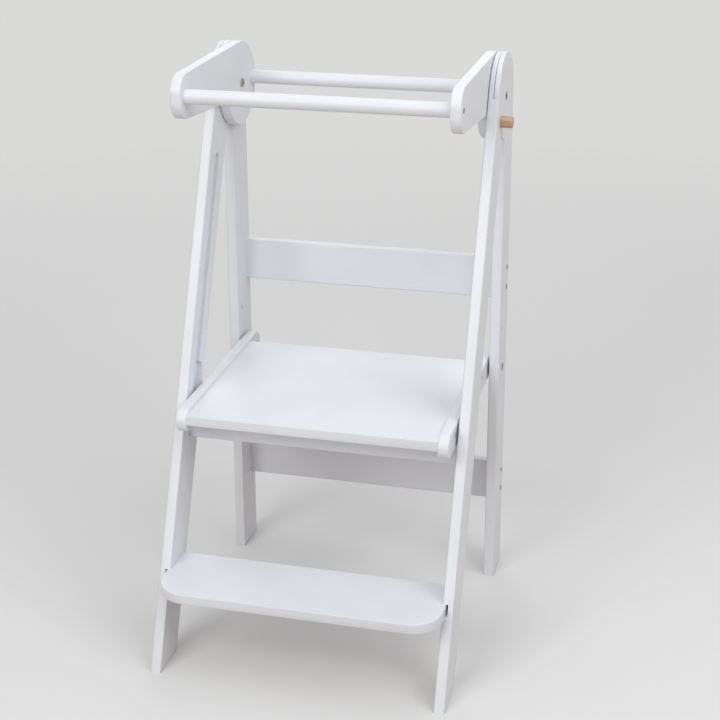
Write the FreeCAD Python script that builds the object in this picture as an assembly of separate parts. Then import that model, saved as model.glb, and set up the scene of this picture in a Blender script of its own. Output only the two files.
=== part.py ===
import FreeCAD, Part
import math
import os

from FreeCAD import Vector

# Folding kitchen helper stool for a toddler: two A-shaped side frames whose legs turn on each other
# in half-lapped round heads, a low step, a platform that hinges on the rear legs, and a hand guard
# of two side panels and two dowels.
# Millimetres. +Z is up, -Y is the side the child climbs, +X is the right-hand side seen from there.
# The origin is on the floor, in the middle of the stool's width and depth.

# ---- driving dimensions ------------------------------------------------------------------------

# stance
HEIGHT = 815.0                # floor to the top of the round heads
WIDTH = 420.0                 # over the outer faces of the legs
FRONT_TILT = 23.46            # front legs from the vertical, degrees
REAR_TILT = 1.68              # rear legs from the vertical, degrees
FOLD_GAP = 1.5                # between front and rear leg once they are folded together

# legs
LEG_WIDTH = 60.0
LEG_THICKNESS = 15.0
LAP_GAP = 0.8                 # between the two halves of a lapped head
POCKET_GAP = 2.2              # round a head, to the shoulder of the other leg
EDGE_CHAMFER = 1.3            # eased board edges

# lower step
STEP_TOP = 134.0
STEP_THICKNESS = 15.0
STEP_OVERHANG = 61.5          # ahead of the front legs' front edges
STEP_DEPTH = 113.0
STEP_HOUSING = 7.5            # how deep the slots for its ends go into the legs
STEP_END_GAP = 3.0            # from its ends to the bottoms of those slots
STEP_RELIEF = 0.4             # its housed ends are this much thinner on top
STEP_CORNER_RADIUS = 42.0

# platform, with the two cleats it is screwed between
PLATFORM_TOP = 352.0
PLATFORM_THICKNESS = 15.0
PLATFORM_DEPTH = 287.0
PLATFORM_BEHIND = 23.5        # its rear edge lies this far ahead of its pivot
CLEAT_HEIGHT = 33.0           # also the size of the cleats' full-round ends
CLEAT_THICKNESS = 15.0
CLEAT_RISE = 5.0              # cleats stand this much above the platform
CLEAT_REACH = 313.0           # from the platform pivot to the cleats' front ends
CLEAT_GAP = 3.0               # from a cleat to the leg beside it
CLEAT_PIVOT_DROP = 4.0        # its pivot lies this far below the middle of its height
PLATFORM_SCREWS = 3           # on each side
PLATFORM_SCREW_INSET = 45.0

# stretcher that the cleats come down on
STRETCHER_HEIGHT = 31.0
STRETCHER_THICKNESS = 15.0
STRETCHER_BACK = 29.5         # its middle, behind the front legs' front edges, square to them
STRETCHER_REST_GAP = 0.2

# groove that guides the platform's pins, in the inner face of each front leg
GROOVE_WIDTH = 14.0
GROOVE_DEPTH = 7.0
GROOVE_BACK = 29.0            # its middle, behind the leg's front edge
GROOVE_TOP = 108.0            # below the head pivot, along the leg
GROOVE_BOTTOM = 409.0
POCKET_FRONT = 22.0           # the wide lower end, behind the leg's front edge
POCKET_REAR = 50.0
POCKET_BOTTOM = 516.0
POCKET_CORNER = 5.0
GUIDE_PIN_DIAMETER = 6.5
GUIDE_PIN_REACH = 215.0       # from the platform pivot forward
GUIDE_PIN_CLEARANCE = 0.5     # from the pin's end to the leg's face
PIN_HOLE_DIAMETER = 4.0       # two small holes in the groove's floor
PIN_HOLE_DEPTH = 4.0
PIN_HOLES_DOWN = (386.0, 426.0)

# rails between the rear legs
RAIL_HEIGHT = 62.0
RAIL_THICKNESS = 15.0
RAIL_BACK = 40.0              # from the rear legs' front edges to the rails
UPPER_RAIL_Z = 472.0
LOWER_RAIL_Z = 143.5
RAIL_SCREW_SPREAD = 30.0      # between the two screws at each end
STOW_HOLE_DIAMETER = 7.0      # through each rear leg
STOW_HOLE_BACK = 16.0
STOW_HOLE_Z = 401.0

# guard
GUARD_THICKNESS = 15.0
GUARD_GAP = 0.8               # to the inner faces of the legs
GUARD_REACH = 247.0           # from the head pivot to the nose
GUARD_NOSE_HEIGHT = 59.0
GUARD_NOSE_RADIUS = 26.0
GUARD_SLOPE = 5.0             # the lower edge falls towards the head, degrees
GUARD_THROAT_RADIUS = 20.0    # where the lower edge meets the round head
DOWEL_DIAMETER = 20.0
DOWEL_SEAT = 8.0              # how deep a dowel sits in a panel
FRONT_DOWEL_AHEAD = 230.0
FRONT_DOWEL_RISE = 31.5
REAR_DOWEL_BEHIND = 45.0

# lock pegs
PEG_DIAMETER = 16.0
PEG_LENGTH = 17.0
PEG_CHAMFER = 2.0
PEG_SHANK_DIAMETER = 10.0
PEG_ACROSS = 28.5             # ahead of the head pivot, across the front leg
PEG_DOWN = 42.0               # below the head pivot, along the front leg
PEG_HOLE_CLEARANCE = 0.3
PEG_HOLE_IN_GUARD = 9.0       # depth

# fasteners
PIVOT_BOLT_DIAMETER = 6.0
PIVOT_HEAD_DIAMETER = 12.0
PIVOT_HEAD_HEIGHT = 3.0
BARREL_DIAMETER = 9.0
BARREL_FLANGE_DIAMETER = 12.5
BARREL_FLANGE_HEIGHT = 1.6
BARREL_LENGTH = 11.0
SOCKET_DIAMETER = 4.0
SOCKET_DEPTH = 2.0
HEAD_WASHER_DIAMETER = 24.0
PLATFORM_WASHER_DIAMETER = 20.0
TURNING_GAP = 0.25            # between faces that turn on each other
WOOD_FIT = 0.1                # round pieces that are let into one another
SCREW_FIT = 0.05
RAIL_SCREW_DIAMETER = 5.0
RAIL_SCREW_HEAD = 9.0
RAIL_SCREW_LENGTH = 50.0
SMALL_SCREW_DIAMETER = 4.0
SMALL_SCREW_HEAD = 8.0
SMALL_SCREW_LENGTH = 40.0

# ---- places that follow from them --------------------------------------------------------------

HEAD_RADIUS = LEG_WIDTH + FOLD_GAP / 2
POCKET_RADIUS = HEAD_RADIUS + POCKET_GAP
PIVOT_Z = HEIGHT - HEAD_RADIUS
LEG_OUTER = WIDTH / 2
LEG_INNER = LEG_OUTER - LEG_THICKNESS
LAP_MIDDLE = (LEG_INNER + LEG_OUTER) / 2


def front_edge_ahead(z):
    """Return how far the front legs' front edges lie ahead of the head pivot at height z."""
    tilt = math.radians(FRONT_TILT)
    return HEAD_RADIUS / math.cos(tilt) + (PIVOT_Z - z) * math.tan(tilt)


STEP_FRONT_AHEAD = front_edge_ahead(STEP_TOP) + STEP_OVERHANG
PIVOT_Y = (STEP_FRONT_AHEAD - HEAD_RADIUS) / 2     # puts the origin in the middle of the depth

GUARD_OUTER = LEG_INNER - GUARD_GAP
GUARD_INNER = GUARD_OUTER - GUARD_THICKNESS
CLEAT_OUTER = LEG_INNER - CLEAT_GAP
CLEAT_INNER = CLEAT_OUTER - CLEAT_THICKNESS
CLEAT_RADIUS = CLEAT_HEIGHT / 2
CLEAT_MIDDLE_Z = PLATFORM_TOP + CLEAT_RISE - CLEAT_RADIUS
PLATFORM_PIVOT_Z = CLEAT_MIDDLE_Z - CLEAT_PIVOT_DROP


class LegFrame:
    """Directions of one leg: u runs square across it to the rear, v up along it, from the pivot."""

    def __init__(self, tilt):
        self.sine = math.sin(math.radians(tilt))
        self.cosine = math.cos(math.radians(tilt))

    def at(self, u, v):
        """Return the (y, z) of a point given across and along the leg."""
        y = PIVOT_Y + u * self.cosine + v * self.sine
        z = PIVOT_Z - u * self.sine + v * self.cosine
        return y, z

    def down_to(self, u, z):
        """Return the v at which the line u meets the height z."""
        return (z - PIVOT_Z + u * self.sine) / self.cosine


FRONT = LegFrame(FRONT_TILT)
REAR = LegFrame(REAR_TILT)

REAR_MIDDLE = FOLD_GAP / 2 + LEG_WIDTH / 2
PLATFORM_PIVOT = REAR.at(REAR_MIDDLE, REAR.down_to(REAR_MIDDLE, PLATFORM_PIVOT_Z))
PEG_AT = FRONT.at(-PEG_ACROSS, -PEG_DOWN)
HEAD_PIVOT = (PIVOT_Y, PIVOT_Z)
FRONT_DOWEL_AT = (PIVOT_Y - FRONT_DOWEL_AHEAD, PIVOT_Z + FRONT_DOWEL_RISE)
REAR_DOWEL_AT = (PIVOT_Y + REAR_DOWEL_BEHIND, PIVOT_Z)
STRETCHER_TOP = CLEAT_MIDDLE_Z - CLEAT_RADIUS - STRETCHER_REST_GAP


# ---- building blocks ---------------------------------------------------------------------------

def line(start, end):
    """Return a straight edge between two (y, z) points."""
    return Part.LineSegment(Vector(0, *start), Vector(0, *end)).toShape()


def arc(start, middle, end):
    """Return a round edge through three (y, z) points."""
    return Part.Arc(Vector(0, *start), Vector(0, *middle), Vector(0, *end)).toShape()


def path(*points):
    """Return the closed outline of straight edges through (y, z) points."""
    return [line(a, b) for a, b in zip(points, points[1:] + points[:1])]


def prism(edges, x_low, x_high):
    """Return the board whose outline lies across X, between two values of X."""
    face = Part.Face(Part.Wire(edges))
    face.translate(Vector(x_low, 0, 0))
    return face.extrude(Vector(x_high - x_low, 0, 0))


def block(x, y, z):
    """Return a box from three (low, high) pairs."""
    size = [high - low for low, high in (x, y, z)]
    return Part.makeBox(*size, Vector(x[0], y[0], z[0]))


def rod(x_low, x_high, radius, at):
    """Return a cylinder along X, centred on the (y, z) point at."""
    return Part.makeCylinder(radius, x_high - x_low, Vector(x_low, *at), Vector(1, 0, 0))


def turned(profile, at):
    """Return the solid turned about X through at, from (x, radius) points starting on the axis."""
    y, z = at
    points = [Vector(x, y, z + radius) for x, radius in profile]
    face = Part.Face(Part.makePolygon(points + points[:1]))
    return face.revolve(Vector(0, y, z), Vector(1, 0, 0), 360)


def ease_rim(solid, x):
    """Return the solid with every edge that lies in the plane X = x chamfered."""
    rim = [e for e in solid.Edges if abs(e.BoundBox.XMin - x) < 1e-4 and abs(e.BoundBox.XMax - x) < 1e-4]
    return solid.makeChamfer(EDGE_CHAMFER, rim)


def ease_long_edges(box):
    """Return a board that runs along X with its four long edges chamfered."""
    long_edges = [e for e in box.Edges if e.BoundBox.XLength > box.BoundBox.XLength - 1e-3]
    return box.makeChamfer(EDGE_CHAMFER, long_edges)


def round_corner(solid, at, radius):
    """Return the solid with its edge along X through the (y, z) point at rounded."""
    near = [e for e in solid.Edges
            if e.BoundBox.YLength < 1e-3 and e.BoundBox.ZLength < 1e-3
            and math.hypot(e.BoundBox.YMin - at[0], e.BoundBox.ZMin - at[1]) < 0.01]
    return solid.makeFillet(radius, near)


def mirrored(shape):
    """Return the left-hand twin of a right-hand piece."""
    return shape.mirror(Vector(0, 0, 0), Vector(1, 0, 0))


def both_sides(solids):
    """Return the right-hand solids followed by their left-hand twins."""
    return solids + [mirrored(solid) for solid in solids]


def save(node, *solids):
    """Write one node as a STEP file, as one solid or a group of separate ones."""
    shape = solids[0] if len(solids) == 1 else Part.makeCompound(list(solids))
    shape.exportStep("parts/" + node + ".step")


# ---- fasteners, all along X on the right-hand side ----------------------------------------------

def screw_profile(face, diameter, head, length, fit):
    """Return the profile of a countersunk screw whose head is flush with the plane X = face."""
    taper = (head - diameter) / 2
    shank = diameter / 2 + fit
    rim = head / 2 + fit
    return [(face - length - fit, 0), (face - length - fit, shank), (face - taper - fit, shank),
            (face - fit, rim), (face, rim), (face, 0)]


def screw(face, at, diameter, head, length):
    """Return a countersunk screw."""
    return turned(screw_profile(face, diameter, head, length, 0), at)


def screw_hole(face, at, diameter, head, length):
    """Return the space that a countersunk screw takes up."""
    return turned(screw_profile(face, diameter, head, length, SCREW_FIT), at)


def pivot_bolt(at, tip):
    """Return a pivot bolt with its flat head let into the leg's outer face."""
    head_under = LEG_OUTER - PIVOT_HEAD_HEIGHT
    shank = rod(tip, head_under, PIVOT_BOLT_DIAMETER / 2, at)
    head = rod(head_under, LEG_OUTER, PIVOT_HEAD_DIAMETER / 2, at)
    socket = rod(LEG_OUTER - SOCKET_DEPTH, LEG_OUTER + 1, SOCKET_DIAMETER / 2, at)
    return shank.fuse(head).removeSplitter().cut(socket)


def pivot_bolt_hole(at, gap):
    """Return the bore and counterbore of a pivot bolt through a leg."""
    bore = rod(LEG_INNER - 1, LEG_OUTER + 1, PIVOT_BOLT_DIAMETER / 2 + gap, at)
    seat = rod(LEG_OUTER - PIVOT_HEAD_HEIGHT - gap, LEG_OUTER + 1, PIVOT_HEAD_DIAMETER / 2 + gap, at)
    return bore.fuse(seat)


def barrel_nut(at, face):
    """Return a sleeve nut whose flange stands on the inner face X = face, over the bolt's tip."""
    flange_outer = face - TURNING_GAP
    flange_inner = flange_outer - BARREL_FLANGE_HEIGHT
    bore = PIVOT_BOLT_DIAMETER / 2 + SCREW_FIT
    end = face + BARREL_LENGTH
    profile = [(flange_inner, 0), (flange_inner, BARREL_FLANGE_DIAMETER / 2),
               (flange_outer, BARREL_FLANGE_DIAMETER / 2), (flange_outer, BARREL_DIAMETER / 2),
               (end, BARREL_DIAMETER / 2), (end, bore), (face, bore), (face, 0)]
    return turned(profile, at)


def barrel_hole(at, face, thickness):
    """Return the bore of a sleeve nut and its bolt through a board with inner face X = face."""
    sleeve = rod(face - 1, face + BARREL_LENGTH + TURNING_GAP, BARREL_DIAMETER / 2 + TURNING_GAP, at)
    shank = rod(face, face + thickness + 1, PIVOT_BOLT_DIAMETER / 2 + TURNING_GAP, at)
    return sleeve.fuse(shank)


def washer(x_low, x_high, diameter, at):
    """Return a flat washer round a pivot bolt."""
    hole = rod(x_low - 1, x_high + 1, PIVOT_BOLT_DIAMETER / 2 + TURNING_GAP, at)
    return rod(x_low, x_high, diameter / 2, at).cut(hole)


# ---- legs --------------------------------------------------------------------------------------

def head_outline(leg, side):
    """Return the outline of a leg with its round head; side is -1 for a front leg, 1 for a rear."""
    near = side * FOLD_GAP / 2
    far = side * HEAD_RADIUS
    diagonal = HEAD_RADIUS * math.sqrt(0.5)
    meet = leg.at(near, -math.sqrt(HEAD_RADIUS ** 2 - near ** 2))
    top = leg.at(0, HEAD_RADIUS)
    foot_far = leg.at(far, leg.down_to(far, 0))
    foot_near = leg.at(near, leg.down_to(near, 0))
    return [line(foot_far, leg.at(far, 0)),
            arc(leg.at(far, 0), leg.at(side * diagonal, diagonal), top),
            arc(top, leg.at(-far, 0), meet),
            line(meet, foot_near),
            line(foot_near, foot_far)]


def shank_outline(leg, side):
    """Return the outline of a leg below its pivot."""
    near = side * FOLD_GAP / 2
    far = side * HEAD_RADIUS
    return path(leg.at(far, leg.down_to(far, 0)), leg.at(far, 0),
                leg.at(near, 0), leg.at(near, leg.down_to(near, 0)))


def lapped_leg(leg, side, head_face, shank_face):
    """Return a leg whose head is half as thick; the faces are the X of its head and other face."""
    inward = 1 if head_face > shank_face else -1
    lap = LAP_MIDDLE + inward * LAP_GAP / 2
    head = prism(head_outline(leg, side), min(head_face, lap), max(head_face, lap))
    shank = prism(shank_outline(leg, side), min(shank_face, lap), max(shank_face, lap))
    pocket = rod(LEG_INNER - 1, LEG_OUTER + 1, POCKET_RADIUS, HEAD_PIVOT)
    shoulder = ease_rim(shank, shank_face).cut(pocket)
    return ease_rim(head, head_face).fuse(shoulder).removeSplitter()


def step_housing():
    """Return the slot that takes one end of the lower step."""
    front = PIVOT_Y - STEP_FRONT_AHEAD
    return block((LEG_INNER - 1, LEG_INNER + STEP_HOUSING),
                 (front, front + STEP_DEPTH + WOOD_FIT),
                 (STEP_TOP - STEP_THICKNESS - WOOD_FIT, STEP_TOP - STEP_RELIEF + WOOD_FIT))


def stretcher_span():
    """Return the (low, high) pairs of the stretcher's section in Y and Z."""
    z_low = STRETCHER_TOP - STRETCHER_HEIGHT
    z_middle = (z_low + STRETCHER_TOP) / 2
    across = STRETCHER_BACK - HEAD_RADIUS
    y_middle = FRONT.at(across, FRONT.down_to(across, z_middle))[0]
    half = STRETCHER_THICKNESS / 2
    return (y_middle - half, y_middle + half), (z_low, STRETCHER_TOP)


def stretcher_housing():
    """Return the recess that takes one end of the stretcher."""
    (y_low, y_high), (z_low, z_high) = stretcher_span()
    return block((LEG_INNER - 1, LEG_INNER + GROOVE_DEPTH), (y_low - WOOD_FIT, y_high + WOOD_FIT),
                 (z_low - WOOD_FIT, z_high + WOOD_FIT))


def groove():
    """Return the guide groove with its round top and its wide lower end."""
    middle = GROOVE_BACK - HEAD_RADIUS
    half = GROOVE_WIDTH / 2
    x_range = (LEG_INNER - 1, LEG_INNER + GROOVE_DEPTH)
    top = -GROOVE_TOP - half
    bottom = -GROOVE_BOTTOM - POCKET_CORNER
    slot = prism([line(FRONT.at(middle - half, bottom), FRONT.at(middle - half, top)),
                  arc(FRONT.at(middle - half, top), FRONT.at(middle, -GROOVE_TOP),
                      FRONT.at(middle + half, top)),
                  line(FRONT.at(middle + half, top), FRONT.at(middle + half, bottom)),
                  line(FRONT.at(middle + half, bottom), FRONT.at(middle - half, bottom))], *x_range)
    corners = [FRONT.at(across - HEAD_RADIUS, -down)
               for across, down in ((POCKET_FRONT, GROOVE_BOTTOM), (POCKET_REAR, GROOVE_BOTTOM),
                                    (POCKET_REAR, POCKET_BOTTOM), (POCKET_FRONT, POCKET_BOTTOM))]
    pocket = prism(path(*corners), *x_range)
    for corner in corners:
        pocket = round_corner(pocket, corner, POCKET_CORNER)
    return slot.fuse(pocket)


def groove_holes():
    """Return the two small holes in the groove's floor."""
    floor = LEG_INNER + GROOVE_DEPTH
    across = GROOVE_BACK - HEAD_RADIUS
    return [rod(floor - 1, floor + PIN_HOLE_DEPTH, PIN_HOLE_DIAMETER / 2, FRONT.at(across, -down))
            for down in PIN_HOLES_DOWN]


def front_leg():
    """Return the right front leg; its head is the inner half of the lap."""
    leg = lapped_leg(FRONT, -1, LEG_INNER, LEG_OUTER)
    cuts = [step_housing(), stretcher_housing(), groove(),
            rod(LEG_INNER - 1, LEG_OUTER + 1, PIVOT_BOLT_DIAMETER / 2 + SCREW_FIT, HEAD_PIVOT),
            peg_hole(LEG_INNER - 1)] + groove_holes()
    return leg.cut(cuts)


def rear_leg():
    """Return the right rear leg; its head is the outer half of the lap."""
    leg = lapped_leg(REAR, 1, LEG_OUTER, LEG_INNER)
    stow_u = FOLD_GAP / 2 + STOW_HOLE_BACK
    stow_at = REAR.at(stow_u, REAR.down_to(stow_u, STOW_HOLE_Z))
    cuts = [pivot_bolt_hole(HEAD_PIVOT, TURNING_GAP), peg_hole(LEG_INNER - 1),
            pivot_bolt_hole(PLATFORM_PIVOT, SCREW_FIT),
            rod(LEG_INNER - 1, LEG_OUTER + 1, STOW_HOLE_DIAMETER / 2, stow_at)]
    cuts += [screw_hole(LEG_OUTER, at, *RAIL_SCREW) for at in rail_screw_places()]
    return leg.cut(cuts)


# ---- boards between the legs -------------------------------------------------------------------

def lower_step():
    """Return the step: a board with round front corners whose ends stand in the legs' slots."""
    end = LEG_INNER + STEP_HOUSING - STEP_END_GAP
    front = PIVOT_Y - STEP_FRONT_AHEAD
    rear = front + STEP_DEPTH
    board = block((-end, end), (front, rear), (STEP_TOP - STEP_THICKNESS, STEP_TOP))
    corners = [e for e in board.Edges
               if e.BoundBox.ZLength > STEP_THICKNESS / 2 and abs(e.BoundBox.YMin - front) < 1e-3]
    board = board.makeFillet(STEP_CORNER_RADIUS, corners)
    rims = [e for e in board.Edges if e.BoundBox.ZLength < 1e-3]
    board = board.makeChamfer(EDGE_CHAMFER, rims)
    relief_top = STEP_TOP - STEP_RELIEF
    relief = block((LEG_INNER - WOOD_FIT, end + 1),
                   (PIVOT_Y - front_edge_ahead(relief_top) - WOOD_FIT, rear + 1),
                   (relief_top, STEP_TOP + 1))
    return board.cut(both_sides([relief]))


def stretcher():
    """Return the stretcher between the front legs, its ends let into both."""
    y_span, z_span = stretcher_span()
    end = LEG_INNER + GROOVE_DEPTH - WOOD_FIT
    return ease_long_edges(block((-end, end), y_span, z_span))


def back_rail(z_middle):
    """Return a rail between the rear legs, square to them, centred on the height z_middle."""
    u_front = FOLD_GAP / 2 + RAIL_BACK
    v_middle = REAR.down_to(u_front + RAIL_THICKNESS / 2, z_middle)
    half = RAIL_HEIGHT / 2
    corners = [REAR.at(u, v) for u, v in ((u_front, v_middle - half), (u_front, v_middle + half),
                                          (u_front + RAIL_THICKNESS, v_middle + half),
                                          (u_front + RAIL_THICKNESS, v_middle - half))]
    rail = ease_long_edges(prism(path(*corners), -LEG_INNER, LEG_INNER))
    holes = [screw_hole(LEG_OUTER, at, *RAIL_SCREW) for at in rail_screw_places()]
    return rail.cut(both_sides(holes))


RAIL_SCREW = (RAIL_SCREW_DIAMETER, RAIL_SCREW_HEAD, RAIL_SCREW_LENGTH)
SMALL_SCREW = (SMALL_SCREW_DIAMETER, SMALL_SCREW_HEAD, SMALL_SCREW_LENGTH)


def rail_screw_places():
    """Return the (y, z) of the screws through one rear leg into both rails."""
    u = FOLD_GAP / 2 + RAIL_BACK + RAIL_THICKNESS / 2
    places = []
    for z_middle in (UPPER_RAIL_Z, LOWER_RAIL_Z):
        v_middle = REAR.down_to(u, z_middle)
        places += [REAR.at(u, v_middle + part * RAIL_SCREW_SPREAD) for part in (-0.5, 0.5)]
    return places


# ---- platform ----------------------------------------------------------------------------------

def platform_screw_places():
    """Return the (y, z) of the screws through one cleat into the platform's edge."""
    rear = PLATFORM_PIVOT[0] - PLATFORM_BEHIND - PLATFORM_SCREW_INSET
    run = PLATFORM_DEPTH - 2 * PLATFORM_SCREW_INSET
    z = PLATFORM_TOP - PLATFORM_THICKNESS / 2
    return [(rear - run * i / (PLATFORM_SCREWS - 1), z) for i in range(PLATFORM_SCREWS)]


def platform_panel():
    """Return the standing board between the cleats."""
    rear = PLATFORM_PIVOT[0] - PLATFORM_BEHIND
    board = block((-CLEAT_INNER, CLEAT_INNER), (rear - PLATFORM_DEPTH, rear),
                  (PLATFORM_TOP - PLATFORM_THICKNESS, PLATFORM_TOP))
    holes = [screw_hole(CLEAT_OUTER, at, *SMALL_SCREW) for at in platform_screw_places()]
    return ease_long_edges(board).cut(both_sides(holes))


def guide_pin_at():
    """Return the (y, z) of the guide pin in a cleat."""
    return PLATFORM_PIVOT[0] - GUIDE_PIN_REACH, CLEAT_MIDDLE_Z


def cleat():
    """Return the right cleat: a board with full-round ends, bored for its pivot and guide pin."""
    y = PLATFORM_PIVOT[0]
    z = CLEAT_MIDDLE_Z
    front = y - CLEAT_REACH + CLEAT_RADIUS
    high = z + CLEAT_RADIUS
    low = z - CLEAT_RADIUS
    board = prism([line((front, high), (y, high)), arc((y, high), (y + CLEAT_RADIUS, z), (y, low)),
                   line((y, low), (front, low)),
                   arc((front, low), (front - CLEAT_RADIUS, z), (front, high))],
                  CLEAT_INNER, CLEAT_OUTER)
    board = ease_rim(ease_rim(board, CLEAT_OUTER), CLEAT_INNER)
    pin_radius = GUIDE_PIN_DIAMETER / 2 + SCREW_FIT
    cuts = [barrel_hole(PLATFORM_PIVOT, CLEAT_INNER, CLEAT_THICKNESS),
            rod(CLEAT_INNER - 1, CLEAT_OUTER + 1, pin_radius, guide_pin_at())]
    cuts += [screw_hole(CLEAT_OUTER, at, *SMALL_SCREW) for at in platform_screw_places()]
    return board.cut(cuts)


# ---- guard -------------------------------------------------------------------------------------

def guard_outline():
    """Return the outline of a guard panel, with square nose corners, and those two corners."""
    slope = math.radians(GUARD_SLOPE)
    nose_y = PIVOT_Y - GUARD_REACH
    top_z = PIVOT_Z + HEAD_RADIUS
    low = Vector(0, nose_y, top_z - GUARD_NOSE_HEIGHT)
    along = Vector(0, math.cos(slope), -math.sin(slope))
    below = Vector(0, -math.sin(slope), -math.cos(slope))
    pivot = Vector(0, *HEAD_PIVOT)
    # the throat's centre lies its radius below the lower edge, and outside the round head
    start = low + below * GUARD_THROAT_RADIUS - pivot
    reach = HEAD_RADIUS + GUARD_THROAT_RADIUS
    half_b = start.dot(along)
    run = -half_b - math.sqrt(half_b ** 2 - start.dot(start) + reach ** 2)
    centre = pivot + start + along * run
    edge_end = centre - below * GUARD_THROAT_RADIUS
    head_start = pivot + (centre - pivot) * (HEAD_RADIUS / reach)
    to_middle = (edge_end + head_start) * 0.5 - centre
    throat = centre + to_middle.normalize() * GUARD_THROAT_RADIUS
    start_angle = math.atan2(head_start.z - PIVOT_Z, head_start.y - PIVOT_Y)
    points = [Vector(0, PIVOT_Y + HEAD_RADIUS * math.cos(a), PIVOT_Z + HEAD_RADIUS * math.sin(a))
              for a in (start_angle / 2 - math.pi / 4, 0, math.pi / 4, math.pi / 2)]
    edges = [Part.LineSegment(low, edge_end).toShape(),
             Part.Arc(edge_end, throat, head_start).toShape(),
             Part.Arc(head_start, Vector(0, PIVOT_Y, PIVOT_Z - HEAD_RADIUS), points[1]).toShape(),
             Part.Arc(points[1], points[2], points[3]).toShape(),
             line((PIVOT_Y, top_z), (nose_y, top_z)),
             line((nose_y, top_z), (low.y, low.z))]
    return edges, [(nose_y, top_z), (low.y, low.z)]


def guard_panel():
    """Return the right guard panel, bored for its pivot, its dowels and the lock peg."""
    edges, nose_corners = guard_outline()
    panel = prism(edges, GUARD_INNER, GUARD_OUTER)
    for corner in nose_corners:
        panel = round_corner(panel, corner, min(GUARD_NOSE_RADIUS, 0.47 * GUARD_NOSE_HEIGHT))
    panel = ease_rim(ease_rim(panel, GUARD_OUTER), GUARD_INNER)
    cuts = [barrel_hole(HEAD_PIVOT, GUARD_INNER, GUARD_THICKNESS),
            peg_hole(GUARD_OUTER - PEG_HOLE_IN_GUARD)]
    for at in (FRONT_DOWEL_AT, REAR_DOWEL_AT):
        cuts.append(rod(GUARD_INNER - 1, GUARD_INNER + DOWEL_SEAT, DOWEL_DIAMETER / 2 + SCREW_FIT, at))
        cuts.append(screw_hole(GUARD_OUTER, at, *SMALL_SCREW))
    return panel.cut(cuts)


def guard_dowel(at):
    """Return a dowel that spans the guard, with a pilot hole for the screw in each end."""
    end = GUARD_INNER + DOWEL_SEAT
    holes = both_sides([screw_hole(GUARD_OUTER, at, *SMALL_SCREW)])
    return rod(-end, end, DOWEL_DIAMETER / 2, at).cut(holes)


# ---- lock pegs ---------------------------------------------------------------------------------

def peg_hole(x_low):
    """Return the hole for the lock peg's shank, from X = x_low out through the leg."""
    return rod(x_low, LEG_OUTER + 1, PEG_SHANK_DIAMETER / 2 + PEG_HOLE_CLEARANCE, PEG_AT)


def lock_peg():
    """Return the right lock peg: a chamfered knob on a shank that stops short of the front leg."""
    tip = LAP_MIDDLE + LAP_GAP / 2 + PEG_HOLE_CLEARANCE
    end = LEG_OUTER + PEG_LENGTH
    shank = PEG_SHANK_DIAMETER / 2
    knob = PEG_DIAMETER / 2
    return turned([(tip, 0), (tip, shank), (LEG_OUTER, shank), (LEG_OUTER, knob),
                   (end - PEG_CHAMFER, knob), (end, knob - PEG_CHAMFER), (end, 0)], PEG_AT)


# ---- the stool ---------------------------------------------------------------------------------

def save_pair(name, piece):
    """Write a right-hand piece and its left-hand twin as two nodes."""
    save(name + "_right", piece)
    save(name + "_left", mirrored(piece))


def save_front_frame():
    """Write the front legs, what joins them and the head pivots they carry."""
    save_pair("front_leg", front_leg())
    save("lower_step", lower_step())
    save("front_stretcher", stretcher())
    save("head_pivot_bolts", *both_sides([pivot_bolt(HEAD_PIVOT, GUARD_INNER)]))
    save("head_barrel_nuts", *both_sides([barrel_nut(HEAD_PIVOT, GUARD_INNER)]))
    save("head_washers", *both_sides([washer(GUARD_OUTER + TURNING_GAP, LEG_INNER,
                                             HEAD_WASHER_DIAMETER, HEAD_PIVOT)]))


def save_rear_frame():
    """Write the rear legs, their rails and the platform pivots they carry."""
    save_pair("rear_leg", rear_leg())
    save("upper_back_rail", back_rail(UPPER_RAIL_Z))
    save("lower_back_rail", back_rail(LOWER_RAIL_Z))
    screws = [screw(LEG_OUTER, at, *RAIL_SCREW) for at in rail_screw_places()]
    save("back_rail_screws", *both_sides(screws))
    save("platform_pivot_bolts", *both_sides([pivot_bolt(PLATFORM_PIVOT, CLEAT_INNER)]))
    save("platform_barrel_nuts", *both_sides([barrel_nut(PLATFORM_PIVOT, CLEAT_INNER)]))
    save("platform_washers", *both_sides([washer(CLEAT_OUTER + TURNING_GAP, LEG_INNER,
                                                 PLATFORM_WASHER_DIAMETER, PLATFORM_PIVOT)]))


def save_platform():
    """Write the platform, its cleats, their screws and the guide pins."""
    save("platform_panel", platform_panel())
    save_pair("platform_cleat", cleat())
    screws = [screw(CLEAT_OUTER, at, *SMALL_SCREW) for at in platform_screw_places()]
    save("platform_screws", *both_sides(screws))
    pin = rod(CLEAT_INNER + WOOD_FIT, LEG_INNER - GUIDE_PIN_CLEARANCE, GUIDE_PIN_DIAMETER / 2,
              guide_pin_at())
    save("platform_guide_pins", *both_sides([pin]))


def save_guard():
    """Write the guard's panels, dowels and screws."""
    save_pair("guard_panel", guard_panel())
    save("guard_front_dowel", guard_dowel(FRONT_DOWEL_AT))
    save("guard_rear_dowel", guard_dowel(REAR_DOWEL_AT))
    screws = [screw(GUARD_OUTER, at, *SMALL_SCREW) for at in (FRONT_DOWEL_AT, REAR_DOWEL_AT)]
    save("guard_dowel_screws", *both_sides(screws))


os.makedirs("parts", exist_ok=True)
save_front_frame()
save_rear_frame()
save_platform()
save_guard()
save_pair("lock_peg", lock_peg())
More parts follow.
